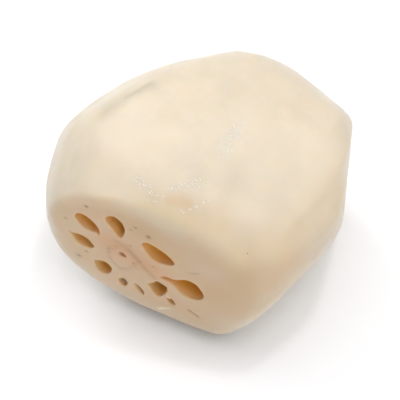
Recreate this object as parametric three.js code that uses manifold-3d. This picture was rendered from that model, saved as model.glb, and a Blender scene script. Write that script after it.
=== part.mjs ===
// A peeled segment of lotus root, lying on its side as it was cut and shaved by hand.
//
// The root grew along Y. The near end (-Y) is a clean cut with a ring of nine air canals round a
// small core, and the far end (+Y) tapers toward the node, where a second cut and a trimmed
// shoulder finish it. Millimetres and degrees, +Z up. The origin is under the middle of the
// root's box, on the surface that it lies on.
import * as THREE from 'three';
import { mergeVertices } from 'three/addons/utils/BufferGeometryUtils.js';
import Module from 'manifold-3d';

// ---------------------------------------------------------------- driving dimensions
// All of these are measured from the middle of the barrel, the swollen shape before any knife work.

const BARREL = {
  halfWidth: 41,        // along X
  halfLength: 46.5,     // along Y, the way the root grew
  rise: 34.5,           // middle to top
  sag: 30.5,            // middle to underside
  sectionPower: 2.4,    // 2 is an oval section, and more is squarer
  profilePower: 2.2,    // the same, seen from the side
};

// Each flat is a plane that a knife or peeler left. Its normal points `around` degrees round the
// root's axis (0 is +X, 90 is up) and leans `lean` degrees toward the far end. `depth` is how far
// the plane lies from the barrel's middle, and `soften` is the width of its rounded edge.
const FLATS = [
  { name: 'near cut', around: 0, lean: -78.5, depth: 30.5, soften: 4 },
  { name: 'far cut', around: -95, lean: 80, depth: 36.5, soften: 4 },
  { name: 'far shoulder', around: 76, lean: 59, depth: 36, soften: 3 },
  { name: 'far left taper', around: 151, lean: 34, depth: 33.5, soften: 14 },
  { name: 'far right taper', around: 1, lean: 28, depth: 33.7, soften: 3 },
  { name: 'bevel beside the near cut', around: 37, lean: -53, depth: 33.5, soften: 5 },
  { name: 'right flank', around: 11, lean: -14, depth: 35.5, soften: 5 },
  { name: 'right underside', around: -24, lean: -5, depth: 32, soften: 5 },
  { name: 'upper right', around: 67, lean: -11, depth: 30.5, soften: 5 },
  { name: 'top', around: 80, lean: 12, depth: 31.5, soften: 5 },
  { name: 'left underside', around: 222, lean: -6, depth: 34.5, soften: 6 },
  { name: 'resting flat', around: -90, lean: 0, depth: 28.5, soften: 1.5 },
];

// A shallow bruise pressed into the upper left, along the line from one point to the other.
const BRUISE = {
  line: new THREE.Line3(new THREE.Vector3(-29.5, -9.5, 25.5), new THREE.Vector3(-19, -1.5, 32)),
  width: 2.8,
  depth: 1,
};

// Air canals where they meet the near cut: the middle of the mouth (x, z), half its long and short
// way across, and the turn of its long way from +X toward +Z.
const CANALS = [
  { name: 'upper left', x: -15.8, z: 10.6, long: 4.2, short: 2.8, turn: 128 },
  { name: 'top', x: -7.6, z: 14.8, long: 4.5, short: 2.6, turn: 103 },
  { name: 'left', x: -17.7, z: 0.9, long: 3.7, short: 2.4, turn: 150 },
  { name: 'upper right', x: 3.5, z: 9.1, long: 4.8, short: 3.2, turn: 147 },
  { name: 'lower left', x: -12.2, z: -8.5, long: 3.3, short: 2.5, turn: 82 },
  { name: 'small left', x: -6.8, z: -12.5, long: 2.0, short: 1.3, turn: 83 },
  { name: 'small right', x: -2.1, z: -12.8, long: 2.4, short: 1.1, turn: 117 },
  { name: 'lower right', x: 3.3, z: -8.5, long: 3.6, short: 2.5, turn: 73 },
  { name: 'right', x: 11.1, z: -2.2, long: 5.1, short: 3.9, turn: 168 },
  { name: 'side pore', x: 7.3, z: -12.3, long: 1.4, short: 1.0, turn: 112 },
  { name: 'core pore', x: -6.2, z: 2.1, long: 1.0, short: 0.8, turn: 0 },
];

// Toward the node the canals draw together on one point and grow narrower.
const GATHER = {
  x: 8,
  z: -3,
  startY: -30,          // canals run straight up to here
  endY: 36,             // and here they have closed in all the way
  spacing: 0.52,        // share of the distance from the gathering point that is left at endY
  size: 0.6,            // share of the mouth's size that is left at endY
  bend: 1.5,            // 1 is a straight taper, and more keeps the bend for the far end
};

const SKIN_DETAIL = 10;         // the skin has 20 x (this + 1) squared triangles
const CANAL_RINGS = 2;          // sections along a canal
const CANAL_SIDES = 12;
const PORE_SIDES = 6;
const PORE_SIZE = 2.5;          // a canal whose long half is under this gets fewer sides
const CUTTER_NEAR = -40.5;      // a canal's cutter starts here, clear of the near cut,
const CUTTER_FAR = 42;          // and ends here, clear of the far end

// ---------------------------------------------------------------- skin

/** Direction that points `around` degrees round the Y axis and `lean` degrees toward +Y. */
function direction(around, lean) {
  const a = THREE.MathUtils.degToRad(around);
  const l = THREE.MathUtils.degToRad(lean);
  return new THREE.Vector3(Math.cos(a) * Math.cos(l), Math.sin(l), Math.sin(a) * Math.cos(l));
}

/** The larger of two distances, with the crease between them rounded over `soften`. */
function softMax(a, b, soften) {
  const overlap = Math.max(soften - Math.abs(a - b), 0) / soften;
  return Math.max(a, b) + (overlap * overlap * soften) / 4;
}

/** Length of (u, v) in the norm of this power: 2 is the usual one. */
function powerNorm(u, v, power) {
  return (Math.abs(u) ** power + Math.abs(v) ** power) ** (1 / power);
}

/** Distance from the barrel's surface, negative inside. */
function barrelDistance(p) {
  const halfHeight = p.z > 0 ? BARREL.rise : BARREL.sag;
  const section = powerNorm(p.x / BARREL.halfWidth, p.z / halfHeight, BARREL.sectionPower);
  const reach = powerNorm(section, p.y / BARREL.halfLength, BARREL.profilePower);
  return p.length() * (1 - 1 / reach);
}

const nearestOnLine = new THREE.Vector3();

/** How far the bruise presses the skin in at this point. */
function bruiseDepth(p) {
  BRUISE.line.closestPointToPoint(p, true, nearestOnLine);
  return BRUISE.depth * Math.exp(-((p.distanceTo(nearestOnLine) / BRUISE.width) ** 2));
}

const flatNormals = FLATS.map((flat) => direction(flat.around, flat.lean));

/** Distance from the peeled skin, negative inside. */
function skinDistance(p) {
  let distance = barrelDistance(p) + bruiseDepth(p);
  FLATS.forEach((flat, i) => {
    distance = softMax(distance, p.dot(flatNormals[i]) - flat.depth, flat.soften);
  });
  return distance;
}

/** Follows a ray out from the barrel's middle to where it leaves the root. */
function skinAlong(ray) {
  const HALVINGS = 40;
  let inside = 1;
  let outside = 2 * BARREL.halfLength;
  for (let i = 0; i < HALVINGS; i += 1) {
    const middle = (inside + outside) / 2;
    if (skinDistance(ray.clone().multiplyScalar(middle)) < 0) {
      inside = middle;
    } else {
      outside = middle;
    }
  }
  return ray.clone().multiplyScalar(inside);
}

/** The whole root without canals: an even ball of rays, each pushed out to the skin. */
function skinGeometry() {
  const ball = new THREE.IcosahedronGeometry(1, SKIN_DETAIL);
  ball.deleteAttribute('normal');
  ball.deleteAttribute('uv');
  const geometry = mergeVertices(ball);
  const position = geometry.getAttribute('position');
  const ray = new THREE.Vector3();
  for (let i = 0; i < position.count; i += 1) {
    ray.fromBufferAttribute(position, i).normalize();
    const point = skinAlong(ray);
    position.setXYZ(i, point.x, point.y, point.z);
  }
  return geometry;
}

// ---------------------------------------------------------------- canals

/** The middle and the two half-widths of a canal at a place along the root. */
function canalSection(canal, y) {
  const t = Math.max((y - GATHER.startY) / (GATHER.endY - GATHER.startY), 0) ** GATHER.bend;
  const spacing = 1 - (1 - GATHER.spacing) * t;
  const size = 1 - (1 - GATHER.size) * t;
  return {
    x: GATHER.x + (canal.x - GATHER.x) * spacing,
    z: GATHER.z + (canal.z - GATHER.z) * spacing,
    long: canal.long * size,
    short: canal.short * size,
  };
}

/** A closed tube that runs the length of a canal and past both ends of the root. */
function canalGeometry(canal) {
  const sides = canal.long < PORE_SIZE ? PORE_SIDES : CANAL_SIDES;
  const length = CUTTER_FAR - CUTTER_NEAR;
  const tube = new THREE.CylinderGeometry(1, 1, length, sides, CANAL_RINGS);
  tube.translate(0, (CUTTER_NEAR + CUTTER_FAR) / 2, 0);
  tube.deleteAttribute('normal');
  tube.deleteAttribute('uv');
  const geometry = mergeVertices(tube);
  const position = geometry.getAttribute('position');
  const turn = THREE.MathUtils.degToRad(canal.turn);
  for (let i = 0; i < position.count; i += 1) {
    const y = position.getY(i);
    const section = canalSection(canal, y);
    const alongLong = position.getX(i) * section.long;
    const alongShort = position.getZ(i) * section.short;
    const x = section.x + alongLong * Math.cos(turn) - alongShort * Math.sin(turn);
    const z = section.z + alongLong * Math.sin(turn) + alongShort * Math.cos(turn);
    position.setXYZ(i, x, y, z);
  }
  return geometry;
}

// ---------------------------------------------------------------- joining and placing

const wasm = await Module();
wasm.setup();

/** A closed, merged geometry as a solid that can be cut. */
function toSolid(geometry) {
  return new wasm.Manifold(
    new wasm.Mesh({
      numProp: 3,
      vertProperties: new Float32Array(geometry.getAttribute('position').array),
      triVerts: new Uint32Array(geometry.index.array),
    }),
  );
}

/** A cut solid back as a geometry. */
function toGeometry(solid) {
  const mesh = solid.getMesh();
  const geometry = new THREE.BufferGeometry();
  geometry.setAttribute('position', new THREE.BufferAttribute(mesh.vertProperties, 3));
  geometry.setIndex(new THREE.BufferAttribute(mesh.triVerts, 1));
  return geometry;
}

/** The root with its canals opened, standing on z = 0 with its box centred on the Z axis. */
function rootGeometry() {
  let root = toSolid(skinGeometry());
  for (const canal of CANALS) {
    root = root.subtract(toSolid(canalGeometry(canal)));
  }
  const geometry = toGeometry(root);
  geometry.computeBoundingBox();
  const { min, max } = geometry.boundingBox;
  geometry.translate(-(min.x + max.x) / 2, -(min.y + max.y) / 2, -min.z);
  geometry.computeVertexNormals();
  return geometry;
}

const peeledFlesh = new THREE.MeshStandardMaterial({
  color: 0xeedcc0,
  roughness: 0.45,
  metalness: 0,
});

const root = new THREE.Mesh(rootGeometry(), peeledFlesh);
root.name = 'lotus_root_segment';

const model = new THREE.Group();
model.add(root);

export default model;
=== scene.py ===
"""A peeled segment of lotus root lying on a pale table, seen from above its near cut.

All shape sizes are millimetres from the middle of the barrel, the swollen root before any knife
work. X runs across the root, Y along it from the near cut to the far end, and Z up. The finished
mesh is fitted to the box of the CAD node, in metres.
"""

import math
import random

import bmesh
import bpy
import numpy as np
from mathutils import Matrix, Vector
from mathutils.geometry import delaunay_2d_cdt


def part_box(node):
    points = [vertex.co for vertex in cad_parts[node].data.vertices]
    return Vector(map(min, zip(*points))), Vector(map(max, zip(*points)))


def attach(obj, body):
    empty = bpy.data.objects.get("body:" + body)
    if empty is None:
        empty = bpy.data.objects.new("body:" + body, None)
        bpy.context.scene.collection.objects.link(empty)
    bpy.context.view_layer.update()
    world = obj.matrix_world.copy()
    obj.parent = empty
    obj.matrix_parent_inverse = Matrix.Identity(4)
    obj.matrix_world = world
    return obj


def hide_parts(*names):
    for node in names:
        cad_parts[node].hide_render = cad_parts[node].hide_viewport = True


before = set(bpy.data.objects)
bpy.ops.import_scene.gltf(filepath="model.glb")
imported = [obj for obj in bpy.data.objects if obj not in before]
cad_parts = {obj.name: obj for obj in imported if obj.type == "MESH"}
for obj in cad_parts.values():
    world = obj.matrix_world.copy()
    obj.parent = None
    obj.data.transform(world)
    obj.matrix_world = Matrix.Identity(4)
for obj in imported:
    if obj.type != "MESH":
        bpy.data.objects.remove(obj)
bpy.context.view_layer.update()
root_low, root_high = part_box("lotus_root_segment")

MM = 0.001


def face_root(thing, aim, around, height, distance):
    """Puts a camera or light this far from the aim, facing it, and links it.

    Its direction is in degrees from the front (-Y) toward the right (+X), and degrees up.
    """
    around, height = math.radians(around), math.radians(height)
    level = math.cos(height)
    back = Vector((math.sin(around) * level, -math.cos(around) * level, math.sin(height)))
    thing.location = aim + back * distance
    thing.rotation_euler = back.to_track_quat("Z", "Y").to_euler()
    bpy.context.scene.collection.objects.link(thing)


# ---------------------------------------------------------------- camera

# The camera looks down at the near cut from the front right, through a long lens.
CAMERA_AROUND = 36.1
CAMERA_HEIGHT = 57.7
CAMERA_DISTANCE = 450 * MM
CAMERA_LENS = 150.7
LOOKS_AT = Vector((-2.97, -0.73, 15.79)) * MM


def place_camera():
    """The camera, aimed at the root with its up side up."""
    data = bpy.data.cameras.new("camera")
    data.lens = CAMERA_LENS
    data.sensor_width = 36
    data.clip_start = 0.01
    camera = bpy.data.objects.new("camera", data)
    face_root(camera, LOOKS_AT, CAMERA_AROUND, CAMERA_HEIGHT, CAMERA_DISTANCE)
    bpy.context.scene.camera = camera


# ---------------------------------------------------------------- the peeled skin

# The barrel, measured from its middle.
BARREL_HALF_WIDTH = 41
BARREL_HALF_LENGTH = 46.5
BARREL_RISE = 34.5
BARREL_SAG = 30.5
SECTION_POWER = 2.4             # 2 is an oval section, and more is squarer
PROFILE_POWER = 2.2             # the same, seen from the side

# Flats that the knife left: degrees round the root's axis (0 is +X and 90 is up), degrees of lean
# toward the far end, distance from the barrel's middle, and the width of the softened edge.
NEAR_CUT = (0, -78.5, 30.5, 4)
FAR_CUT = (-95, 80, 36.5, 4)
RESTING_DEPTH = 28.5
KNIFE_FLATS = [
    NEAR_CUT,
    FAR_CUT,
    (73, 59, 36.4, 1.2),            # shoulder over the far cut
    (151, 34, 33.5, 14),            # taper on the far left
    (1, 28, 33.7, 3),               # taper on the far right
    (37, -53, 33.5, 5),             # bevel beside the near cut
    (11, -14, 35.5, 5),             # right flank
    (-24, -5, 32, 5),               # right underside
    (67, -11, 30.5, 5),             # upper right
    (80, 12, 31.5, 5),              # top
    (222, -6, 34.5, 6),             # left underside
    (-90, 0, RESTING_DEPTH, 1.5),   # the flat that it rests on
]
# Between these heights the near cut's softened edge sharpens to this width.
NEAR_CUT_SHARPENS = (-2, 7)
NEAR_CUT_SHARP = 1.0

# Dents in the skin, each along a line: from, to, width and depth.
DENTS = [
    ((-25, -14, 28), (-19, -1.5, 32), 2.4, 0.9),            # bruise
    ((-31.5, -9, 21), (-29.3, -2.5, 23), 4, 1.6),           # hollow beside it
    ((-22.9, -8.6, 29.6), (-19.7, -0.6, 30.6), 0.9, 0.6),   # crease in the bruise
    ((-34.5, -4.5, 15.7), (-34, -3, 16.2), 6, 0.6),         # hollow under it
    ((-16, 20, 24.5), (-9.9, 24.4, 23.9), 6, 1.1),          # flattened beside the shoulder
]

STROKE_SPANS = ((-38, 6), (-8, 36))     # strokes run from Y to Y, in two overlapping courses
STROKE_SHIFT = 5                # how far a stroke's middle strays from that, either way
STROKE_LENGTHEN = (-3, 6)       # and how much longer its half gets
STROKE_DEGREES = (13, 21)       # how far round the root one stroke of the peeler reaches
STROKE_TURN = 5                 # degrees that a stroke turns round the root on its way, either way
STROKE_BITE = (0.4, 0.8)        # share of the swollen skin over a stroke that the blade took
STROKE_SOFTEN = 0.35
STROKE_SEED = 11
STROKE_POINTS = 50
NO_STROKE = 1000.0              # a height that no point of the root reaches
RAIL_LEANS = (-66, 70)          # a stroke is laid along lines on the skin between these leans
RAIL_POINTS = 90
TURN_LEAN = 60                  # the lean at which a stroke has made its whole turn

# A place on the skin or on a canal's wall is found by halving the gap between two distances.
NEAREST_SKIN, FARTHEST_SKIN, SKIN_HALVINGS = 10.0, 60.0, 26
FARTHEST_CUT, CANAL_HALVINGS = 45.0, 24


def direction(around, lean):
    """Unit vector that points around degrees round the Y axis and leans toward the far end."""
    turn, tilt = np.radians(around), np.radians(lean)
    level = np.cos(tilt)
    return np.stack([np.cos(turn) * level, np.sin(tilt) + 0 * turn, np.sin(turn) * level], axis=-1)


def soft_max(a, b, soften):
    """The larger of two distances, with the crease between them rounded over soften."""
    overlap = np.maximum(soften - np.abs(a - b), 0) / soften
    return np.maximum(a, b) + overlap**2 * soften / 4


def power_norm(u, v, power):
    """Length of (u, v) in the norm of this power."""
    return (np.abs(u) ** power + np.abs(v) ** power) ** (1 / power)


def distance_to_line(points, start, end):
    """How far each point is from the straight piece between start and end."""
    along = np.clip((points - start) @ (end - start) / ((end - start) @ (end - start)), 0, 1)
    return np.linalg.norm(points - start - along[:, None] * (end - start), axis=1)


def skin_distance(points, strokes=(), flats=KNIFE_FLATS):
    """Distance from the peeled skin, negative inside."""
    half_height = np.where(points[:, 2] > 0, BARREL_RISE, BARREL_SAG)
    section = power_norm(points[:, 0] / BARREL_HALF_WIDTH, points[:, 2] / half_height, SECTION_POWER)
    reach = power_norm(section, points[:, 1] / BARREL_HALF_LENGTH, PROFILE_POWER)
    distance = np.linalg.norm(points, axis=1) * (1 - 1 / np.maximum(reach, 1e-6))
    for start, end, width, depth in DENTS:
        away = distance_to_line(points, np.array(start), np.array(end))
        distance += depth * np.exp(-((away / width) ** 2))
    for flat in flats:
        around, lean, depth, soften = flat
        if flat is NEAR_CUT:
            soften = np.interp(points[:, 2], NEAR_CUT_SHARPENS, (soften, NEAR_CUT_SHARP))
        distance = soft_max(distance, points @ direction(around, lean) - depth, soften)
    for line_y, normal_x, normal_z, height in strokes:
        across = points[:, 0] * np.interp(points[:, 1], line_y, normal_x)
        up = points[:, 2] * np.interp(points[:, 1], line_y, normal_z)
        limit = np.interp(points[:, 1], line_y, height, NO_STROKE, NO_STROKE)
        distance = soft_max(distance, across + up - limit, STROKE_SOFTEN)
    return distance


def skin_along(rays, strokes=(), flats=KNIFE_FLATS):
    """Where each ray from the barrel's middle leaves the root."""
    inside = np.full(len(rays), NEAREST_SKIN)
    outside = np.full(len(rays), FARTHEST_SKIN)
    for _ in range(SKIN_HALVINGS):
        middle = (inside + outside) / 2
        is_inside = skin_distance(rays * middle[:, None], strokes, flats) < 0
        inside = np.where(is_inside, middle, inside)
        outside = np.where(is_inside, outside, middle)
    return rays * inside[:, None]


def peeler_strokes():
    """Long shallow flats that a hand peeler left: each follows the skin lengthwise, flat across."""
    chance = random.Random(STROKE_SEED)
    sides = KNIFE_FLATS[2:]         # the two cuts came after the peeling
    leans = np.linspace(*RAIL_LEANS, RAIL_POINTS)
    strokes = []
    for start, end in STROKE_SPANS:
        around = chance.uniform(0, STROKE_DEGREES[0])
        last = around + 360
        while around < last:
            width = chance.uniform(*STROKE_DEGREES)
            turn = chance.uniform(-STROKE_TURN, STROKE_TURN)
            middle = (start + end) / 2 + chance.uniform(-STROKE_SHIFT, STROKE_SHIFT)
            half = (end - start) / 2 + chance.uniform(*STROKE_LENGTHEN)
            y = np.linspace(middle - half, middle + half, STROKE_POINTS)
            rails = []
            for side in (-0.5, 0, 0.5):
                rays = direction(around + turn * leans / TURN_LEAN + side * width, leans)
                line = skin_along(rays, flats=sides)
                rails.append([np.interp(y, line[:, 1], line[:, k]) for k in (0, 2)])
            (left_x, left_z), (mid_x, mid_z), (right_x, right_z) = rails
            length = np.hypot(right_x - left_x, right_z - left_z)
            normal_x, normal_z = (right_z - left_z) / length, (left_x - right_x) / length
            chord = normal_x * left_x + normal_z * left_z
            swell = np.maximum(normal_x * mid_x + normal_z * mid_z - chord, 0)
            bite = chance.uniform(*STROKE_BITE) * (1 - np.abs((y - middle) / half) ** 3)
            strokes.append((y, normal_x, normal_z, chord + swell * (1 - bite)))
            around += width
    return strokes


# ---------------------------------------------------------------- canals

# Toward the node the canals draw together on one point and grow narrower.
GATHER = np.array([8, -3])
GATHER_START, GATHER_END = -30, 36
GATHER_SPACING, GATHER_SIZE, GATHER_BEND = 0.52, 0.6, 1.5

# Mouths on the near cut, as (x, z) round each rim, then the canal behind it: its middle, half its
# long and short way across, and the turn of its long way from +X toward +Z.
MOUTHS = {
    "upper left": (
        [(-19.2, 10.7), (-19, 11.7), (-18.5, 12.8), (-17.4, 13.7), (-16.3, 13.9), (-15.1, 13.1),
         (-14, 11.8), (-13, 10), (-12.6, 8.5), (-12.7, 6.7), (-13.6, 7.1), (-14.6, 6.8),
         (-16, 7), (-17.4, 7.9), (-18.4, 9.1)],
        (-16, 10.1, 4.2, 2.8, 128)),
    "top": (
        [(-10.6, 15.7), (-10.2, 16.8), (-9.3, 17.9), (-8.1, 18.5), (-7.1, 18.1), (-6.1, 17),
         (-5.6, 15.2), (-5.5, 13.5), (-5.8, 11.4), (-6.4, 9.9), (-7.1, 9.5), (-7.8, 10),
         (-8.6, 11.3), (-9.4, 12.9), (-10.2, 14)],
        (-7.8, 14.3, 4.5, 2.6, 103)),
    "left": (
        [(-21.5, 3.1), (-20.6, 2.6), (-20.1, 2.5), (-18.8, 2.9), (-17.4, 2.8), (-16, 2),
         (-15, 0.8), (-14.5, -0.1), (-14.6, -0.8), (-15.5, -1.8), (-16.6, -2.2), (-18, -2),
         (-19.3, -1.3), (-20.3, -0.1), (-20.9, 1.4)],
        (-17.9, 0.4, 3.7, 2.4, 150)),
    "upper right": (
        [(-1, 9.8), (-0.8, 10.9), (0.3, 12.1), (1.6, 12.3), (3.3, 11.7), (5, 10.7),
         (6.7, 9.5), (7.7, 8), (7.7, 6.7), (6.7, 5.6), (5.3, 5.1), (3.5, 4.7), (1.8, 5.2),
         (0.4, 6.8), (-0.5, 8.6)],
        (3.3, 8.6, 4.8, 3.2, 147)),
    "lower left": (
        [(-14.9, -7.9), (-13.6, -6.6), (-12.1, -5.9), (-10.9, -6.3), (-10.1, -7.7), (-10.1, -9.3),
         (-10.8, -11.1), (-11.9, -12.2), (-13.2, -12.3), (-14.1, -11.3), (-14.7, -9.4)],
        (-12.4, -9, 3.3, 2.5, 82)),
    "small left": (
        [(-8.3, -12.7), (-7.3, -11.2), (-6.4, -11.2), (-5.8, -12.6), (-6, -14),
         (-6.8, -15.1), (-7.7, -15), (-8.2, -14)],
        (-7, -13, 2, 1.3, 83)),
    "small right": (
        [(-3.8, -11.7), (-3.3, -11.1), (-2.4, -11.7), (-1.6, -12.7), (-1.1, -14.4), (-1.2, -15.7),
         (-1.8, -15.5), (-2.7, -14.6), (-3.4, -13.4), (-3.7, -12.3)],
        (-2.3, -13.3, 2.4, 1.1, 117)),
    "lower right": (
        [(0.2, -8.7), (1.5, -7.3), (2.9, -5.4), (4, -5.8), (5.1, -6.4), (5.6, -7),
         (5.3, -7.6), (5.8, -8.2), (5.1, -9.2), (5.4, -10.2), (4.4, -11), (4.3, -11.7),
         (3.3, -12.8), (2.2, -12.9), (1.3, -11.9), (0.7, -10.4)],
        (3.1, -9, 3.6, 2.5, 73)),
    "right": (
        [(3.9, -2.4), (5.1, -1.3), (6.2, -0.9), (7.3, -1.1), (8.7, -0.5), (10.8, 1.2), (12.2, 1.3),
         (13.6, 0.7), (14.6, -0.8), (15.4, -2.5), (15.5, -4.1), (14.8, -5.7), (13.4, -6.9),
         (11.8, -7.3), (10, -6.6), (8.6, -5.7), (7.2, -4.1), (5.8, -3), (4.6, -2.7)],
        (10.9, -2.7, 5.1, 3.9, 168)),
    "side pore": (
        [(5.3, -12.6), (5.9, -11.4), (6.9, -11.4), (7.6, -12.7), (7.7, -13.7), (6.8, -14.1),
         (5.8, -13.6)],
        (7.1, -12.8, 1.4, 1, 112)),
    "core pore": (
        [(-7.5, 1.7), (-6.4, 2.4), (-5.5, 1.5), (-5.7, 0.8), (-6.6, 0.7), (-7.2, 0.9)],
        (-6.4, 1.6, 1, 0.8, 0)),
}

RIM_SPACING = 0.36              # between points round a mouth
FEWEST_RIM_POINTS = 18
CURVE_STEPS = 12                # steps of the curve from one traced point to the next
# The rounded lip of a mouth: out from the edge, and down into the canal.
LIP = [(0.3, 0), (0.17, 0.03), (0.06, 0.11), (0, 0.28)]
FAR_LIP = 0.4                   # the far cut's lips are this share of that, as its walls are thin
MOUTH_BLEND = 7                 # how deep a mouth's own outline turns into the canal's oval
# How deep a canal's wall has its rings, in a canal of this length. Others are stretched.
CANAL_RINGS = [0.55, 0.9, 1.35, 1.9, 2.6, 3.5, 4.7, 6.2, 8, 10, 12.5, 15, 18, 21, 24, 27, 30, 33, 36]
CANAL_LENGTH = 67
CANAL_SHADE = 1.2               # how deep into a canal its painted amber shade is most of the way full
# Share of the full painted amber shade in the canals that are paler than the rest, and how much painted
# brown shade others get.
PALER_CANALS = {"core pore": 0.1, "small left": 0.6, "small right": 0.6}
BROWNER_CANALS = {"lower right": 0.12, "side pore": 0.2}


def canal_oval(canal, y, phase):
    """Points (x, z) of a canal's oval wall at this place along the root."""
    x, z, long, short, turn = canal
    t = np.maximum((y - GATHER_START) / (GATHER_END - GATHER_START), 0) ** GATHER_BEND
    spacing = 1 - (1 - GATHER_SPACING) * t
    size = 1 - (1 - GATHER_SIZE) * t
    turn = math.radians(turn)
    along, across = long * size * np.cos(phase), short * size * np.sin(phase)
    return np.stack([
        GATHER[0] + (x - GATHER[0]) * spacing + along * math.cos(turn) - across * math.sin(turn),
        GATHER[1] + (z - GATHER[1]) * spacing + along * math.sin(turn) + across * math.cos(turn),
    ], axis=-1)


def canal_ends(canal, phase):
    """Where a canal's wall leaves the root at its far end."""
    inside, outside = np.zeros(len(phase)), np.full(len(phase), FARTHEST_CUT)
    for _ in range(CANAL_HALVINGS):
        y = (inside + outside) / 2
        wall = canal_oval(canal, y, phase)
        is_inside = skin_distance(np.stack([wall[:, 0], y, wall[:, 1]], axis=1)) < 0
        inside, outside = np.where(is_inside, y, inside), np.where(is_inside, outside, y)
    wall = canal_oval(canal, inside, phase)
    return np.stack([wall[:, 0], inside, wall[:, 1]], axis=1)


def round_phase(outline, canal):
    """The angle on a canal's oval that faces each point of its mouth."""
    x, z, long, short, turn = canal
    turn = math.radians(turn)
    dx, dz = outline[:, 0] - x, outline[:, 1] - z
    along = (dx * math.cos(turn) + dz * math.sin(turn)) / long
    across = (-dx * math.sin(turn) + dz * math.cos(turn)) / short
    return np.arctan2(across, along)


def smooth_loop(corners, spacing):
    """A closed curve through the corners, as evenly spaced points, anticlockwise."""
    corners = np.array(corners, float)
    x, z = corners.T
    if np.sum(x * np.roll(z, -1) - np.roll(x, -1) * z) < 0:
        corners = corners[::-1]
    before, after = np.roll(corners, 1, axis=0), np.roll(corners, -1, axis=0)
    beyond = np.roll(corners, -2, axis=0)
    curve = []
    for t in np.linspace(0, 1, CURVE_STEPS, endpoint=False):
        curve.append(0.5 * (2 * corners + (after - before) * t
                            + (2 * before - 5 * corners + 4 * after - beyond) * t**2
                            + (3 * corners - before - 3 * after + beyond) * t**3))
    curve = np.stack(curve, axis=1).reshape(-1, 2)
    closed = np.vstack([curve, curve[:1]])
    run = np.concatenate([[0], np.cumsum(np.linalg.norm(np.diff(closed, axis=0), axis=1))])
    count = max(int(run[-1] / spacing), FEWEST_RIM_POINTS)
    stops = np.linspace(0, run[-1], count, endpoint=False)
    return np.stack([np.interp(stops, run, closed[:, k]) for k in (0, 1)], axis=1)


def outward(loop):
    """Unit directions that point out of an anticlockwise closed loop."""
    tangent = np.roll(loop, -1, axis=0) - np.roll(loop, 1, axis=0)
    normal = np.stack([tangent[:, 1], -tangent[:, 0]], axis=1)
    return normal / np.maximum(np.linalg.norm(normal, axis=1), 1e-9)[:, None]


# ---------------------------------------------------------------- marks on the near cut

# Each mark is a line on the near cut from (x, z) to (x, z), its half width, how deep it is
# pressed (under 0 stands proud), and how dark it is (under 0 is paler than the flesh).
CUT_MARKS = [
    ((11.6, -13.5), (14, -15.1), 0.42, 0.25, 0.6),          # slit by the lower edge
    ((12, 5.4), (14.1, 6.3), 0.5, 0.05, 0.25),
    ((-7.9, 7.1), (-4.5, 5.1), 0.8, 0.02, 0.22),            # scratch across the core
    ((-4.5, 5.1), (-1.8, 1.3), 1.1, 0.03, 0.36),
    ((-1.8, 1.3), (2.3, -4.1), 0.9, 0.02, 0.27),
    ((5, -8.9), (5.5, -10.1), 0.35, -0.7, -0.8),            # torn curl by the lower right canal
    ((5.5, -10.1), (6.5, -11), 0.25, -0.4, -0.6),
    ((3, -19.1), (4.4, -17.5), 0.5, -0.3, -0.7),            # flap lifted along the lower edge
    ((4.4, -17.5), (6.2, -16.1), 0.4, -0.3, -0.6),
]
CORE_RING = [(-8, 4.5), (-5.8, 6.7), (-4.5, 5.1), (-3.2, 2.9), (-2.6, 0.8), (-3.4, -2.5), (-5.3, -5.1),
             (-7.1, -6.5), (-9.5, -4.3), (-10.4, -1.1), (-10.1, 1.5), (-9.5, 2.8)]
CORE_RING_MARK = (0.75, 0.03, 0.3)
# Vascular bundles that show as small darker spots, slightly sunken: x, z, half width, darkness.
BUNDLE_DEPTH = 0.1
BUNDLES = [(-4.2, 7.2, 0.35, 0.6), (-3.5, -0.7, 0.4, 0.7), (-1.7, 1.3, 0.5, 0.8), (2.1, 1.8, 0.35, 0.6),
           (-6.4, -5.6, 0.4, 0.6), (-10.3, 1.9, 0.45, 0.6), (-15.3, 18.4, 0.5, 0.9),
           (-21.8, 8.6, 0.45, 0.6), (0.9, 15.1, 0.6, 0.8), (-2.6, 17.1, 0.45, 0.6),
           (-19, -7.8, 0.7, 0.6), (-16.8, -4.3, 0.5, 0.6), (-3.8, 15.4, 0.45, 0.4)]


def stronger(new, old):
    """Whichever of the two is further from zero, at each point."""
    return np.where(np.abs(new) > np.abs(old), new, old)


def cut_marks(flat):
    """Depth (mm, inward) and darkness of the marks at points (x, z) on the near cut."""
    x, z = flat.T
    # The core ring comes and goes on its way round.
    broken = 0.65 + 0.35 * np.sin(2.3 * x) * np.sin(1.9 * z + 1)
    marks = [(start, end, width, deep, darkness, 1)
             for start, end, width, deep, darkness in CUT_MARKS]
    marks += [(start, end, *CORE_RING_MARK, broken)
              for start, end in zip(CORE_RING, CORE_RING[1:] + CORE_RING[:1])]
    depth, dark = np.zeros(len(flat)), np.zeros(len(flat))
    for start, end, width, deep, darkness, strength in marks:
        away = distance_to_line(flat, np.array(start), np.array(end))
        share = np.exp(-((away / width) ** 2)) * strength
        depth = stronger(deep * share, depth)
        dark = stronger(darkness * share, dark)
    for bundle_x, bundle_z, width, darkness in BUNDLES:
        share = np.exp(-(np.hypot(x - bundle_x, z - bundle_z) / width) ** 2)
        depth = stronger(BUNDLE_DEPTH * share, depth)
        dark = stronger(darkness * share, dark)
    return depth, dark


# ---------------------------------------------------------------- building the mesh

AROUND = 340                    # points round the skin
ROWS = 108                      # rows from the near cut to the far cut
NEAR_CAP = ((0, 0), 26, 0.24)   # middle (x, z), radius, and finest spacing of the cut face's mesh
FAR_CAP = ((2.5, -1), 14.5, 0.4)
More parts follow.
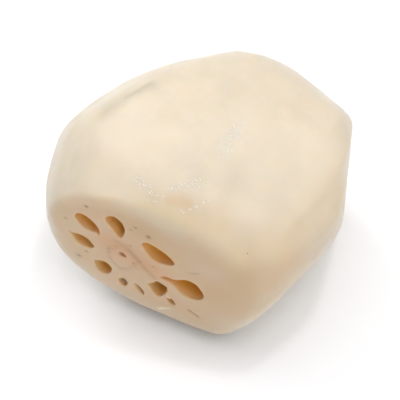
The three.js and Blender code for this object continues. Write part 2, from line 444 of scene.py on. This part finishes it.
# A cut face's mesh is finest up to the first distance from a mouth, half as fine up to the
# second, and a quarter as fine further out. Marks are meshed finely too.
FINE_REACH, MIDDLING_REACH = 0.9, 2.4
MARK_REACH = 0.5                # as though a mouth were this close
MARK_THRESHOLD = 0.02           # darkness above which a mark counts
SHAKE = 0.12                    # share of the spacing by which points are shaken out of line
RIM_CLEARANCE = 0.8             # share of the spacing that is kept clear round a rim
TRIANGLE_HEIGHT = 0.866         # of an even triangle whose sides are 1
SAME_POINT = 1e-5               # points of a cut face this close are one
CUT_LIP = 0.2                   # how far under a cut its tint is still whole
CUT_FADE = 1.1                  # how far in from a cut its own tint fades out
# The rim of a cut stays pale, as the cut's own edge and, where the band is widest low down, as painted
# bounce light: at these heights, this wide a band of it.
PALE_RIM = ((-14, 7), (8, 1.2))
RIM_TINT = 0.25                 # share of the cut's own tint that the rim still has
# How the flesh waves: height, length from bump to bump, and seed. A canal's wall waves more, and
# its waves are drawn out along the root by this share.
SKIN_WAVES = [(0.08, 14, 3), (0.03, 5, 4)]
WALL_WAVES = [(0.10, 3.2, 5), (0.03, 1.1, 6)]
WALL_DRAWN_OUT = 0.25
WAVE_COUNT = 16                 # even waves that each unevenness is the sum of
WAVE_LENGTHS = (0.7, 1.5)       # and their lengths, as shares of the one given
# Patches of the flesh that have changed, each along a line: from, to, radius and strength. A tan
# is painted as shade on the right flank, on the bevel beside the near cut and just under the cut's
# top edge, sap stained the cut, a paler band is painted as light along the rounded edge over the
# near cut, and the bruise's grey carries painted shade along its crease. Water gathered on the wet
# ones, and bits of peel are left on the specked ones.
PATCHES = {
    "browned": [
        ((23, -25, 2), (24, -24, 9), 10, 0.75),
        ((29, -18, 6), (30, -14, 10), 9, 0.6),
        ((32, 0, 12), (33, 6, 15), 8, 0.25),
        ((2, -28, 23), (14, -22, 21), 6, 0.3),
        ((3.2, -24.8, 26.2), (7, -22.5, 25.6), 1.8, 0.5),
        ((-20, -34.5, 14), (-4, -32, 19), 4, 0.35),
        ((-1, -31, 17), (11, -28, 14.5), 5.5, 0.6),
        ((11, -28, 14.5), (18, -25, 11.5), 6.5, 0.65),
    ],
    "sappy": [
        ((-9, -33.1, 5), (2, -30.7, 0), 5.5, 0.65),
    ],
    # A paler band, painted as light where the rounded edge over the near cut and the bevel face up.
    "paled": [
        ((-21.3, -35.2, 16.9), (-11.7, -33.4, 23.3), 2.2, 0.25),
        ((-11.7, -33.4, 23.3), (-1.9, -29.8, 24.7), 2.6, 0.3),
        ((-1.9, -29.8, 24.7), (6.2, -26.3, 23.4), 2.8, 0.4),
        ((6.2, -26.3, 23.4), (14.4, -23, 20.5), 3.2, 0.45),
        ((14.4, -23, 20.5), (22.3, -21.8, 14.9), 4, 0.45),
        ((22.3, -21.8, 14.9), (29.6, -14.4, 15.5), 4, 0.3),
        ((29.6, -14.4, 15.5), (31.8, -5, 17), 4.5, 0.25),
        ((31.8, -5, 17), (32.6, 4.6, 17.9), 4.5, 0.25),
    ],
    # The bruise's own grey, with painted shade along the crease in it.
    "greyed": [
        ((-25, -15, 27.6), (-22, -6.6, 30), 2, 0.25),
        ((-23, -8, 29.5), (-19, -1.8, 31.2), 1.7, 0.35),
        ((-22.7, -8.2, 29.4), (-19.9, -1, 30.3), 0.8, 0.6),
    ],
    "wet": [
        ((6.4, -5.6, 29.5), (5.9, -0.6, 30), 1.8, 1),
        ((-6.3, -25.3, 28.8), (-4.6, -26.2, 28.2), 0.8, 0.8),
        ((-3.1, -25.6, 28), (0.6, -26.4, 26.5), 0.9, 1),
        ((1.6, -22.4, 27.8), (6.6, -16.9, 27.4), 0.9, 1),
        ((6.9, -24.7, 24.2), (10.1, -18.9, 25.5), 0.5, 1),
    ],
    "specked": [
        ((23, -21.1, 15.3), (23.5, -20.8, 15.5), 0.4, 1),
        ((19.2, -22.9, 15.9), (19.6, -22.7, 15.9), 0.3, 0.7),
        ((0.9, -9.2, 31.1), (1, -9.2, 31.1), 0.3, 1),
    ],
}


def plane_y(flat, cut):
    """Y of the plane of a cut at points (x, z)."""
    normal = direction(np.array(cut[0]), np.array(cut[1]))
    return (cut[2] - flat[:, 0] * normal[0] - flat[:, 1] * normal[2]) / normal[1]


def on_plane(flat, cut):
    """The points (x, z) on the plane of a cut, in space."""
    return np.stack([flat[:, 0], plane_y(flat, cut), flat[:, 1]], axis=1)


def to_plane(points, cut):
    """Where rays from the middle through these points meet the plane of a cut, as (x, z)."""
    normal = direction(np.array(cut[0]), np.array(cut[1]))
    return (points * (cut[2] / (points @ normal))[:, None])[:, [0, 2]]


def unit(vectors):
    """The vectors, each at length 1."""
    return vectors / np.linalg.norm(vectors, axis=1)[:, None]


def waves(points, length, seed):
    """Smooth unevenness about 1 high, with bumps of about this length in mm."""
    rng = np.random.default_rng(seed)
    total = np.zeros(len(points))
    for _ in range(WAVE_COUNT):
        heading = unit(rng.normal(size=(1, 3)))[0]
        step = 2 * math.pi / (length * rng.uniform(*WAVE_LENGTHS))
        total += np.cos(points @ heading * step + rng.uniform(0, 2 * math.pi))
    return total / math.sqrt(WAVE_COUNT / 2)


def inside_loop(points, loop):
    """Which points lie inside a closed loop."""
    x, z = points.T
    hit = np.zeros(len(points), bool)
    for (x1, z1), (x2, z2) in zip(loop, np.roll(loop, -1, axis=0)):
        crosses = (z1 > z) != (z2 > z)
        if z1 != z2:
            hit ^= crosses & (x < (x2 - x1) * (z - z1) / (z2 - z1) + x1)
    return hit


def distance_to_loop(points, loop):
    """How far each point is from a closed loop."""
    nearest = np.full(len(points), np.inf)
    for start, end in zip(loop, np.roll(loop, -1, axis=0)):
        nearest = np.minimum(nearest, distance_to_line(points, start, end))
    return nearest


def cut_share(points):
    """1 on the two cut faces, fading out over their rounded edges and paler on their rims, which low
    down is partly painted bounce light.
    """
    share = np.zeros(len(points))
    for cut in (NEAR_CUT, FAR_CUT):
        around, lean, depth, _ = cut
        under = depth - points @ direction(around, lean)
        on_cut = np.clip(1 - (under - CUT_LIP) / CUT_FADE, 0, 1)
        beside = -skin_distance(points, flats=[flat for flat in KNIFE_FLATS if flat is not cut])
        inner = np.clip(beside / np.interp(points[:, 2], *PALE_RIM), 0, 1)
        share = np.maximum(share, on_cut * (RIM_TINT + (1 - RIM_TINT) * inner))
    return share


def patch_share(points, patches):
    """How strongly these patches change each point."""
    share = np.zeros(len(points))
    for start, end, radius, strength in patches:
        away = distance_to_line(points, np.array(start), np.array(end))
        share = np.maximum(share, strength * np.exp(-((away / radius) ** 2)))
    return share


def cap_mesh(cap, edge, loops, marked, seed):
    """Triangles of a cut face: points (x, z) with edge first, then each loop, then filling."""
    middle, radius, fine = cap
    middle = np.array(middle, float)
    reach = int(radius / fine) + 2
    i, j = np.meshgrid(np.arange(-reach, reach + 1), np.arange(-reach, reach + 1), indexing="ij")
    i, j = i.ravel(), j.ravel()
    lattice = middle + np.stack([(i + 0.5 * (j % 2)) * fine, j * fine * TRIANGLE_HEIGHT], axis=1)
    from_middle = np.linalg.norm(lattice - middle, axis=1)
    near = np.full(len(lattice), np.inf)
    within = np.zeros(len(lattice), bool)
    for loop in loops:
        near = np.minimum(near, distance_to_loop(lattice, loop[::2]))
        within |= inside_loop(lattice, loop)
    if marked:
        is_marked = np.abs(cut_marks(lattice)[1]) > MARK_THRESHOLD
        near = np.where(is_marked, np.minimum(near, MARK_REACH), near)
    level = np.where(near < FINE_REACH, 1, np.where(near < MIDDLING_REACH, 2, 4))
    keep = (i % level == 0) & (j % level == 0) & ~within & (near > fine * RIM_CLEARANCE)
    keep &= from_middle < radius - 2 * fine
    filling = lattice[keep]
    rng = np.random.default_rng(seed)
    shake = rng.uniform(-SHAKE, SHAKE, filling.shape)
    filling = filling + shake * fine * level[keep][:, None]
    points = np.vstack([edge] + loops + [filling])
    edges, start = [], 0
    for loop in [edge] + loops:
        count = len(loop)
        edges += [(start + k, start + (k + 1) % count) for k in range(count)]
        start += count
    made = delaunay_2d_cdt([Vector(p) for p in points], edges, [], 0, SAME_POINT, True)
    triangles, given_as = made[2], made[3]
    faces = [[given_as[corner][0] for corner in triangle] for triangle in triangles]
    faces = np.array([face for face in faces if len(set(face)) == 3])
    centres = points[faces].mean(axis=1)
    keep = inside_loop(centres, edge)
    for loop in loops:
        keep &= ~inside_loop(centres, loop)
    return points, faces[keep]


class Shell:
    """Points and faces of one closed surface, with a value per point for each finish."""

    def __init__(self):
        self.points = []
        self.faces = []
        self.count = 0
        self.values = {name: [] for name in ("canal", "dark", "cut", *PATCHES)}

    def add(self, points, canal=0.0, dark=0.0):
        """Adds points and returns the number of the first."""
        first = self.count
        self.points.append(points)
        self.values["canal"].append(np.broadcast_to(canal, len(points)))
        self.values["dark"].append(np.broadcast_to(dark, len(points)))
        self.values["cut"].append(cut_share(points))
        for name, patches in PATCHES.items():
            self.values[name].append(patch_share(points, patches))
        self.count += len(points)
        return first

    def band(self, low, high):
        """Quads between two closed rings of point numbers."""
        self.faces.append(np.stack([low, np.roll(low, -1), np.roll(high, -1), high], axis=1))


def add_skin(shell, near_edge, far_edge, near_first, far_first, strokes):
    """The skin, row by row from the edge of the near cut's mesh to the edge of the far cut's."""
    near_rays = unit(on_plane(near_edge, NEAR_CUT))
    far_rays = unit(on_plane(far_edge, FAR_CUT))
    between = np.arccos(np.clip((near_rays * far_rays).sum(axis=1), -1, 1))[:, None]
    below = near_first + np.arange(AROUND)
    for row in range(1, ROWS):
        t = row / ROWS
        rays = np.sin((1 - t) * between) * near_rays + np.sin(t * between) * far_rays
        above = shell.add(skin_along(unit(rays), strokes)) + np.arange(AROUND)
        shell.band(below, above)
        below = above
    shell.band(below, far_first + np.arange(AROUND))


def add_canal(shell, name, outline, phase, ends, near_start, far_start):
    """A canal's wall, ring by ring from its lip on the near cut to its lip on the far cut."""
    canal = MOUTHS[name][1]
    amber_shade, brown_shade = PALER_CANALS.get(name, 1), BROWNER_CANALS.get(name, 0)
    near_y, far_y = plane_y(outline, NEAR_CUT), ends[:, 1]
    stretch = (far_y - near_y) / CANAL_LENGTH
    rings = [(depth, out) for out, depth in LIP[1:]] + [(depth, 0) for depth in CANAL_RINGS]
    places = [(near_y + depth * stretch, out) for depth, out in rings]
    places += [(far_y - depth * stretch, FAR_LIP * out) for depth, out in rings[-2::-1]]
    below = near_start + np.arange(len(outline))
    for y, out in places:
        blend = np.clip((y - near_y) / MOUTH_BLEND, 0, 1)[:, None]
        blend = blend * blend * (3 - 2 * blend)
        wall = outline + (canal_oval(canal, y, phase) - outline) * blend
        wall = wall + out * outward(wall)
        points = np.stack([wall[:, 0], y, wall[:, 1]], axis=1)
        # Deeper in, the wall is painted amber, and in a few canals browner, as shade inside the canal.
        shade_in = 1 - np.exp(-np.minimum(y - near_y, far_y - y) / CANAL_SHADE)
        first = shell.add(points, canal=amber_shade * shade_in, dark=brown_shade * shade_in)
        above = first + np.arange(len(outline))
        shell.band(below, above)
        below = above
    shell.band(below, far_start + np.arange(len(outline)))


def build_shell():
    """The whole root: both cut faces, the skin between them and every canal."""
    shell = Shell()
    strokes = peeler_strokes()
    angle = np.linspace(0, 2 * math.pi, AROUND, endpoint=False)
    ring = np.stack([np.cos(angle), np.sin(angle)], axis=1)
    near_edge = np.array(NEAR_CAP[0]) + NEAR_CAP[1] * ring
    far_edge = np.array(FAR_CAP[0]) + FAR_CAP[1] * ring

    outlines = [smooth_loop(corners, RIM_SPACING) for corners, _ in MOUTHS.values()]
    canals = [canal for _, canal in MOUTHS.values()]
    phases = [round_phase(outline, canal) for outline, canal in zip(outlines, canals)]
    far_ends = [canal_ends(canal, phase) for canal, phase in zip(canals, phases)]
    near_rims = [outline + LIP[0][0] * outward(outline) for outline in outlines]
    far_loops = [to_plane(ends, FAR_CUT) for ends in far_ends]
    far_rims = [loop + FAR_LIP * LIP[0][0] * outward(loop) for loop in far_loops]
    near_points, near_faces = cap_mesh(NEAR_CAP, near_edge, near_rims, True, 1)
    far_points, far_faces = cap_mesh(FAR_CAP, far_edge, far_rims, False, 2)

    near_surface = skin_along(unit(on_plane(near_points, NEAR_CUT)), strokes)
    depth, dark = cut_marks(near_points)
    near_surface[:, 1] += depth
    near_first = shell.add(near_surface, dark=dark)
    far_first = shell.add(skin_along(unit(on_plane(far_points, FAR_CUT)), strokes))
    shell.faces.append(near_faces + near_first)
    shell.faces.append(far_faces + far_first)
    add_skin(shell, near_edge, far_edge, near_first, far_first, strokes)

    rim = AROUND                # a cap's points are its edge and then each mouth's rim
    for name, outline, phase, ends in zip(MOUTHS, outlines, phases, far_ends):
        add_canal(shell, name, outline, phase, ends, near_first + rim, far_first + rim)
        rim += len(outline)
    return shell


def root_mesh(shell):
    """The shell as a Blender mesh that fills the CAD node's box."""
    points = np.vstack(shell.points)
    canal = np.concatenate(shell.values["canal"])
    drawn_out = points * (1, WALL_DRAWN_OUT, 1)
    lumps = sum(height * waves(points, *wave) for height, *wave in SKIN_WAVES)
    lumps += canal * sum(height * waves(drawn_out, *wave) for height, *wave in WALL_WAVES)
    points = points + unit(points) * lumps[:, None]
    points[:, 2] = np.maximum(points[:, 2], -RESTING_DEPTH)

    low, high = points.min(axis=0), points.max(axis=0)
    box_low, box_high = np.array(root_low), np.array(root_high)
    points = box_low + (points - low) / (high - low) * (box_high - box_low)

    mesh = bpy.data.meshes.new("peeled_root")
    faces = [face for block in shell.faces for face in block.tolist()]
    mesh.from_pydata(points.tolist(), [], faces)
    for name, values in shell.values.items():
        attribute = mesh.attributes.new(name, "FLOAT", "POINT")
        attribute.data.foreach_set("value", np.concatenate(values).astype(np.float32))
    work = bmesh.new()
    work.from_mesh(mesh)
    bmesh.ops.recalc_face_normals(work, faces=work.faces)
    work.to_mesh(mesh)
    work.free()
    mesh.shade_smooth()
    return mesh


# ---------------------------------------------------------------- finishes


def srgb(code):
    """Linear colour from an sRGB hex code."""
    channels = [int(code[i:i + 2], 16) / 255 for i in (0, 2, 4)]
    return [c / 12.92 if c <= 0.04045 else ((c + 0.055) / 1.055) ** 2.4 for c in channels] + [1]


def node(tree, kind, inputs=None, **settings):
    """Adds a node with its settings. An input that is another node's output is linked.

    An input is given by its name, or by its number where several share one name.
    """
    made = tree.nodes.new(kind)
    for name, value in settings.items():
        setattr(made, name, value)
    for name, value in (inputs or {}).items():
        if isinstance(value, bpy.types.NodeSocket):
            tree.links.new(value, made.inputs[name])
        else:
            made.inputs[name].default_value = value
    return made


# A colour mix's sockets, which share their names with others on the node.
SHARE, UNDER, COAT, MIXED = 0, 6, 7, 2

# Sizes of the flesh's patterns, in mm from one bump to the next.
BLOTCH = 6.25                   # soft blotches of starch
BROAD_BLOTCH = 18.2             # and broader ones under them
GRAIN = 1.11                    # fibres that the blade cut, coarser than they are so that they show
RIPPLE = 0.667                  # ripples in the film of water
FAINTEST, FULLEST = 0.3, 0.7    # a noise's own values where a blotch starts and is full
THIN_FILM = 0.12                # of the water's full film, which all of the flesh has


def per_metre(millimetres):
    """Scale of a pattern that repeats after this many mm."""
    return 1 / (millimetres * MM)


def flesh_material():
    """Raw starchy root flesh, freshly shaved and rinsed: cream, faintly translucent and moist."""
    material = bpy.data.materials.new("rinsed_root_flesh")
    material.use_nodes = True
    tree = material.node_tree
    tree.nodes.clear()
    place = node(tree, "ShaderNodeTexCoord").outputs["Object"]
    share = {name: node(tree, "ShaderNodeAttribute", attribute_name=name).outputs["Fac"]
             for name in ("canal", "dark", "cut", "browned", "sappy", "paled", "greyed", "wet")}
    # A positive "dark" is a stain, and deeper in two canals it is painted brown shade; a negative one
    # is pale torn flesh.
    pale = node(tree, "ShaderNodeMath", {0: share["dark"], 1: -1.0}, operation="MULTIPLY",
                use_clamp=True).outputs[0]

    blotches = node(tree, "ShaderNodeTexNoise",
                    {"Vector": place, "Scale": per_metre(BLOTCH), "Detail": 3})
    broad = node(tree, "ShaderNodeTexNoise",
                 {"Vector": place, "Scale": per_metre(BROAD_BLOTCH), "Detail": 1})
    blotch, broadly = [
        node(tree, "ShaderNodeMapRange",
             {"Value": noise.outputs["Fac"], "From Min": FAINTEST, "From Max": FULLEST}).outputs[0]
        for noise in (blotches, broad)]
    both = node(tree, "ShaderNodeMath", {0: blotch, 1: broadly}, operation="MULTIPLY").outputs[0]
    cream, sliced = [
        node(tree, "ShaderNodeMix", {SHARE: amount, UNDER: srgb(first), COAT: srgb(second)},
             data_type="RGBA").outputs[MIXED]
        for amount, first, second in ((both, "dccfbb", "d2c6b1"), (blotch, "d6b796", "d3ba95"))]
    colour = cream
    for amount, coat in (
            # The bruise's grey, with painted shade along its crease.
            (share["greyed"], srgb("aca190")),
            (share["cut"], sliced),
            # A tan, painted as shade on the right flank, the bevel and under the near cut's top edge.
            (share["browned"], srgb("cfae83")),
            (share["sappy"], srgb("d5a174")),
            # A paler cream, painted as light along the rounded edge over the near cut.
            (share["paled"], srgb("f2e1bf")),
            # Amber, painted as shade deeper into each canal.
            (share["canal"], srgb("f2b84e")),
            # Stains on the near cut, and painted brown shade deeper in two canals.
            (share["dark"], srgb("8f6530")),
            (pale, srgb("f0e4d2"))):
        colour = node(tree, "ShaderNodeMix", {SHARE: amount, UNDER: colour, COAT: coat},
                      data_type="RGBA").outputs[MIXED]

    grain = node(tree, "ShaderNodeTexNoise",
                 {"Vector": place, "Scale": per_metre(GRAIN), "Detail": 2})
    bump = node(tree, "ShaderNodeBump",
                {"Height": grain.outputs["Fac"], "Strength": 0.2, "Distance": 0.1 * MM})
    # A film of water, thin everywhere and thick enough to glint where the blade tore the flesh.
    ripple = node(tree, "ShaderNodeTexNoise",
                  {"Vector": place, "Scale": per_metre(RIPPLE), "Detail": 1})
    ripples = node(tree, "ShaderNodeBump",
                   {"Height": ripple.outputs["Fac"], "Strength": 0.35, "Distance": 0.25 * MM})
    film = node(tree, "ShaderNodeMapRange", {"Value": share["wet"], "To Min": THIN_FILM}).outputs[0]
    # Light gets a millimetre or so into the flesh, and red light farthest.
    shader = node(tree, "ShaderNodeBsdfPrincipled", {
        "Base Color": colour,
        "Roughness": 0.42,
        "IOR": 1.38,
        "Subsurface Weight": 1.0,
        "Subsurface Radius": (1.4, 1.0, 0.65),
        "Subsurface Scale": MM,
        "Normal": bump.outputs["Normal"],
        "Coat Weight": film,
        "Coat Roughness": 0.08,
        "Coat IOR": 1.33,
        "Coat Normal": ripples.outputs["Normal"],
    })
    node(tree, "ShaderNodeOutputMaterial", {"Surface": shader.outputs["BSDF"]})
    return material


def plain_material(name, colour, roughness, ior):
    """A material that is the same all over."""
    material = bpy.data.materials.new(name)
    material.use_nodes = True
    shader = material.node_tree.nodes["Principled BSDF"]
    shader.inputs["Base Color"].default_value = srgb(colour)
    shader.inputs["Roughness"].default_value = roughness
    shader.inputs["IOR"].default_value = ior
    return material


def table_material():
    """Matt white laminate: pale and even, with no reflection of the root."""
    return plain_material("matt_white_table", "fafafc", 0.8, 1.5)


def peel_material():
    """Brown specks of peel that the blade missed, dull and dry."""
    return plain_material("brown_peel_specks", "b09468", 0.7, 1.5)


def water_material():
    """Clear rinse water in beads so thin that the flesh's own cream shows through them."""
    return plain_material("rinse_water_beads", "efe6d6", 0.06, 1.45)


# ---------------------------------------------------------------- what is scattered on the skin

# Flattened beads scattered where an attribute of the mesh says: how many per square mm at its
# full strength, the smallest and largest radius, and how tall a bead is for its radius.
WATER_BEADS = ("wet", 4.0, 0.07, 0.2, 0.35)
PEEL_SPECKS = ("specked", 2.0, 0.12, 0.25, 0.2)
SCATTER_SEED = 5


def scatter_tree():
    """Scatters flattened beads over a mesh, as densely as one of its attributes says."""
    tree = bpy.data.node_groups.new("scattered_beads", "GeometryNodeTree")
    for name, kind in (("Root", "NodeSocketGeometry"), ("Where", "NodeSocketString"),
                       ("Density", "NodeSocketFloat"), ("Smallest", "NodeSocketFloat"),
                       ("Largest", "NodeSocketFloat"), ("Height", "NodeSocketFloat"),
                       ("Seed", "NodeSocketInt"), ("Finish", "NodeSocketMaterial")):
        tree.interface.new_socket(name, in_out="INPUT", socket_type=kind)
    tree.interface.new_socket("Geometry", in_out="OUTPUT", socket_type="NodeSocketGeometry")
    given = node(tree, "NodeGroupInput").outputs
    share = node(tree, "GeometryNodeInputNamedAttribute", {"Name": given["Where"]},
                 data_type="FLOAT")
    density = node(tree, "ShaderNodeMath",
                   {0: share.outputs["Attribute"], 1: given["Density"]}, operation="MULTIPLY")
    spots = node(tree, "GeometryNodeDistributePointsOnFaces",
                 {"Mesh": given["Root"], "Density": density.outputs[0], "Seed": given["Seed"]})
    ball = node(tree, "GeometryNodeMeshIcoSphere", {"Radius": 1.0, "Subdivisions": 2})
    # Numbers 2 and 3 are the least and the most, and output 1 is the number between them.
    radius = node(tree, "FunctionNodeRandomValue",
                  {2: given["Smallest"], 3: given["Largest"], "Seed": given["Seed"]},
                  data_type="FLOAT").outputs[1]
    height = node(tree, "ShaderNodeMath", {0: radius, 1: given["Height"]}, operation="MULTIPLY")
    size = node(tree, "ShaderNodeCombineXYZ", {"X": radius, "Y": radius, "Z": height.outputs[0]})
    beads = node(tree, "GeometryNodeInstanceOnPoints",
                 {"Points": spots.outputs["Points"], "Instance": ball.outputs["Mesh"],
                  "Rotation": spots.outputs["Rotation"], "Scale": size.outputs["Vector"]})
    real = node(tree, "GeometryNodeRealizeInstances", {"Geometry": beads.outputs["Instances"]})
    smooth = node(tree, "GeometryNodeSetShadeSmooth", {"Geometry": real.outputs["Geometry"]})
    finished = node(tree, "GeometryNodeSetMaterial",
                    {"Geometry": smooth.outputs["Geometry"], "Material": given["Finish"]})
    both = node(tree, "GeometryNodeJoinGeometry", {"Geometry": finished.outputs["Geometry"]})
    tree.links.new(given["Root"], both.inputs["Geometry"])
    node(tree, "NodeGroupOutput", {"Geometry": both.outputs["Geometry"]})
    return tree


def scatter_beads(root):
    """Adds the water beads and the specks of peel to the root's mesh."""
    tree = scatter_tree()
    for beads, finish in ((WATER_BEADS, water_material()), (PEEL_SPECKS, peel_material())):
        where, per_mm2, smallest, largest, height = beads
        settings = {"Where": where, "Density": per_mm2 / MM**2, "Smallest": smallest * MM,
                    "Largest": largest * MM, "Height": height, "Seed": SCATTER_SEED,
                    "Finish": finish}
        modifier = root.modifiers.new(where, "NODES")
        modifier.node_group = tree
        for item in tree.interface.items_tree:
            if item.name in settings:
                modifier[item.identifier] = settings[item.name]
    evaluated = root.evaluated_get(bpy.context.evaluated_depsgraph_get())
    finished = bpy.data.meshes.new_from_object(evaluated)
    # The bare ball that the beads start from leaves a slot with no material, which no face uses.
    for slot in reversed(range(len(finished.materials))):
        if finished.materials[slot] is None:
            finished.materials.pop(index=slot)
    root.modifiers.clear()
    root.data = finished


# ---------------------------------------------------------------- table and light

TABLE_SIDE = 4.0                # metres


def lay_table():
    """A square table top at Z = 0, which only stages the root."""
    mesh = bpy.data.meshes.new("table")
    half = TABLE_SIDE / 2
    mesh.from_pydata([(-half, -half, 0), (half, -half, 0), (half, half, 0), (-half, half, 0)],
                     [], [(0, 1, 2, 3)])
    mesh.materials.append(table_material())
    table = bpy.data.objects.new("table", mesh)
    bpy.context.scene.collection.objects.link(table)


# Soft boxes round the table: degrees round it, counted from the front (-Y) toward the right (+X),
# degrees above it, watts, and the length of a side in metres. All face the root from the same
# distance in metres. The wide one softens the shadow, and the small one is bright for its size
# and is what the water mirrors.
SOFT_BOXES = {
    "overhead": (0, 90, 2.5, 0.6),
    "wide_overhead": (0, 90, 6.7, 1.5),
    "left": (261, 40, 4.1, 0.6),
    "front": (12, 36, 0.2, 0.6),
    "front_right": (55, 14, 1.5, 0.6),
    "right": (85, 60, 1.4, 0.6),
    "right_behind": (126, 48, 0.85, 0.6),
    "behind": (171, 60, 0.5, 0.6),
    "small_overhead": (168, 77, 0.9, 0.08),
}
SOFT_BOX_DISTANCE = 0.9
ROOM_GLOW = 0.02                # light that the white room adds from all sides


def light_studio():
    """A white room with soft boxes."""
    world = bpy.data.worlds.new("white_room")
    world.use_nodes = True
    background = world.node_tree.nodes["Background"]
    background.inputs["Color"].default_value = (1, 1, 1, 1)
    background.inputs["Strength"].default_value = ROOM_GLOW
    bpy.context.scene.world = world
    aim = Vector((0, 0, root_high[2] / 2))
    for name, (around, height, watts, side) in SOFT_BOXES.items():
        data = bpy.data.lights.new(name, "AREA")
        data.shape = "SQUARE"
        data.size = side
        data.energy = watts
        face_root(bpy.data.objects.new(name, data), aim, around, height, SOFT_BOX_DISTANCE)
    bpy.context.scene.view_settings.view_transform = "Standard"


# ---------------------------------------------------------------- putting it together

place_camera()
lay_table()
light_studio()

root = bpy.data.objects.new("peeled_root", root_mesh(build_shell()))
root.data.materials.append(flesh_material())
bpy.context.scene.collection.objects.link(root)
scatter_beads(root)
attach(root, "root")
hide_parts("lotus_root_segment")
